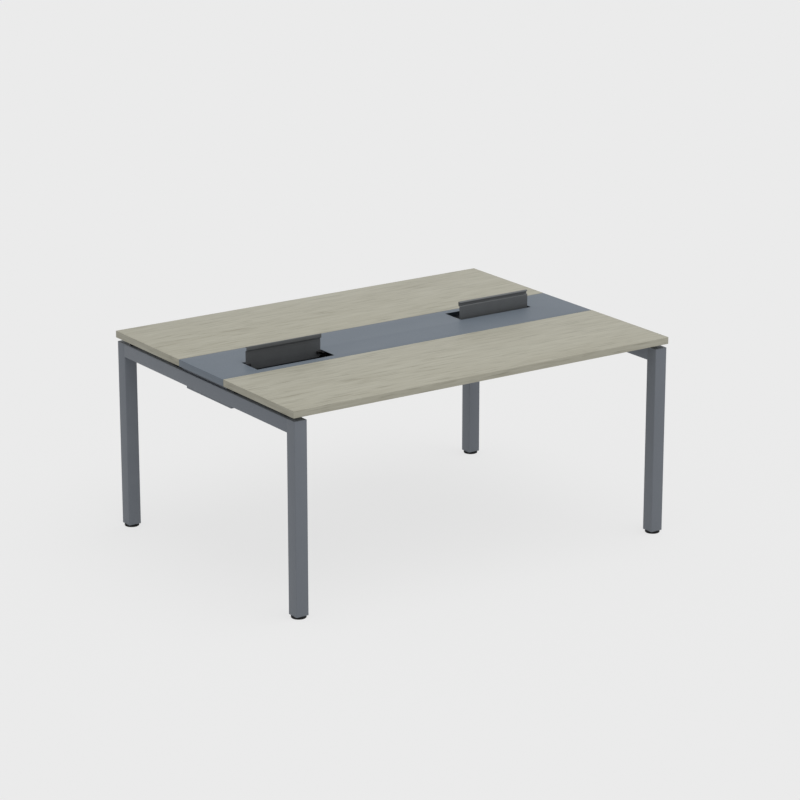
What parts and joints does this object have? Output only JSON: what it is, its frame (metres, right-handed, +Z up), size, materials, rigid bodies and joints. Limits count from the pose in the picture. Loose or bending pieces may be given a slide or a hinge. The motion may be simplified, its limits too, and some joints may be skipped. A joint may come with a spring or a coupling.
{
  "type": "benching desk",
  "caption": "Benching desk for facing seats: laminate worktops either side of a steel spine with hinged cable flaps, on a square-tube frame with levelling feet.",
  "frame": {"origin": "on the floor under the middle of the desk", "axes": "+X along the desk from the left end to the right end as seen from the near seat, +Y from the near seat to the far seat, +Z up"},
  "size_m": [1.6, 1.2, 0.8065],
  "materials": {
    "laminate": "grey-beige oak laminate, matt, grain along the desk",
    "edge_banding": "matt edging in the laminate's decor",
    "spine_coat": "blue-grey powder coat, satin",
    "powder_coat": "grey powder coat, satin",
    "dark_anodised": "dark grey anodised",
    "black_plastic": "moulded black",
    "zinc_plate": "bright zinc"
  },
  "bodies": {
    "desk": {"worktop_near": "laminate", "worktop_far": "laminate", "edge_band_near": "edge_banding", "edge_band_far": "edge_banding", "spine_cover": "spine_coat", "flap_left_pin_inner": "black_plastic", "flap_left_bracket_inner": "black_plastic", "flap_left_pin_outer": "black_plastic", "flap_left_bracket_outer": "black_plastic", "flap_right_pin_inner": "black_plastic", "flap_right_bracket_inner": "black_plastic", "flap_right_pin_outer": "black_plastic", "flap_right_bracket_outer": "black_plastic", "leg_near_left": "powder_coat", "leg_cap_near_left": "powder_coat", "foot_insert_near_left": "black_plastic", "leg_near_right": "powder_coat", "leg_cap_near_right": "powder_coat", "foot_insert_near_right": "black_plastic", "leg_far_left": "powder_coat", "leg_cap_far_left": "powder_coat", "foot_insert_far_left": "black_plastic", "leg_far_right": "powder_coat", "leg_cap_far_right": "powder_coat", "foot_insert_far_right": "black_plastic", "end_rail_left": "powder_coat", "spine_support_left": "powder_coat", "end_rail_right": "powder_coat", "spine_support_right": "powder_coat", "beam_near": "powder_coat", "beam_plate_near_left": "powder_coat", "beam_plate_near_right": "powder_coat", "spacer_near_left_inner": "black_plastic", "spacer_near_left_outer": "black_plastic", "spacer_near_right_inner": "black_plastic", "spacer_near_right_outer": "black_plastic", "spacer_near_middle": "black_plastic", "beam_far": "powder_coat", "beam_plate_far_left": "powder_coat", "beam_plate_far_right": "powder_coat", "spacer_far_left_inner": "black_plastic", "spacer_far_left_outer": "black_plastic", "spacer_far_right_inner": "black_plastic", "spacer_far_right_outer": "black_plastic", "spacer_far_middle": "black_plastic", "cable_tray": "powder_coat", "tray_bolt_near_left": "zinc_plate", "tray_bolt_near_right": "zinc_plate", "tray_bolt_far_left": "zinc_plate", "tray_bolt_far_right": "zinc_plate"},
    "flap_left": {"flap_left": "dark_anodised"},
    "flap_right": {"flap_right": "dark_anodised"},
    "foot_stem_near_left": {"foot_stem_near_left": "zinc_plate"},
    "foot_stem_near_right": {"foot_stem_near_right": "zinc_plate"},
    "foot_stem_far_left": {"foot_stem_far_left": "zinc_plate"},
    "foot_stem_far_right": {"foot_stem_far_right": "zinc_plate"},
    "foot_pad_near_left": {"foot_pad_near_left": "black_plastic"},
    "foot_pad_near_right": {"foot_pad_near_right": "black_plastic"},
    "foot_pad_far_left": {"foot_pad_far_left": "black_plastic"},
    "foot_pad_far_right": {"foot_pad_far_right": "black_plastic"}
  },
  "joints": [
    {"name": "flap_left_hinge", "type": "hinge", "parent": "desk", "child": "flap_left", "pos_m": [-0.48, -0.035, 0.7385], "axis": [1, 0, 0], "range_deg": [0, 90]},
    {"name": "flap_right_hinge", "type": "hinge", "parent": "desk", "child": "flap_right", "pos_m": [0.48, 0.035, 0.7385], "axis": [-1, 0, 0], "range_deg": [0, 90]},
    {"name": "foot_rise_near_left", "type": "slide", "parent": "desk", "child": "foot_stem_near_left", "axis": [0, 0, -1], "range_m": [0, 0.015]},
    {"name": "foot_turn_near_left", "type": "hinge", "parent": "foot_stem_near_left", "child": "foot_pad_near_left", "pos_m": [-0.77, -0.572, 0.005], "axis": [0, 0, -1], "range_deg": [0, 3600]},
    {"name": "foot_rise_near_right", "type": "slide", "parent": "desk", "child": "foot_stem_near_right", "axis": [0, 0, -1], "range_m": [0, 0.015]},
    {"name": "foot_turn_near_right", "type": "hinge", "parent": "foot_stem_near_right", "child": "foot_pad_near_right", "pos_m": [0.77, -0.572, 0.005], "axis": [0, 0, -1], "range_deg": [0, 3600]},
    {"name": "foot_rise_far_left", "type": "slide", "parent": "desk", "child": "foot_stem_far_left", "axis": [0, 0, -1], "range_m": [0, 0.015]},
    {"name": "foot_turn_far_left", "type": "hinge", "parent": "foot_stem_far_left", "child": "foot_pad_far_left", "pos_m": [-0.77, 0.572, 0.005], "axis": [0, 0, -1], "range_deg": [0, 3600]},
    {"name": "foot_rise_far_right", "type": "slide", "parent": "desk", "child": "foot_stem_far_right", "axis": [0, 0, -1], "range_m": [0, 0.015]},
    {"name": "foot_turn_far_right", "type": "hinge", "parent": "foot_stem_far_right", "child": "foot_pad_far_right", "pos_m": [0.77, 0.572, 0.005], "axis": [0, 0, -1], "range_deg": [0, 3600]}
  ],
  "couplings": [
    {"joint": "foot_rise_near_left", "follows": "foot_turn_near_left", "m_per_rad": 0.00023873},
    {"joint": "foot_rise_near_right", "follows": "foot_turn_near_right", "m_per_rad": 0.00023873},
    {"joint": "foot_rise_far_left", "follows": "foot_turn_far_left", "m_per_rad": 0.00023873},
    {"joint": "foot_rise_far_right", "follows": "foot_turn_far_right", "m_per_rad": 0.00023873}
  ]
}
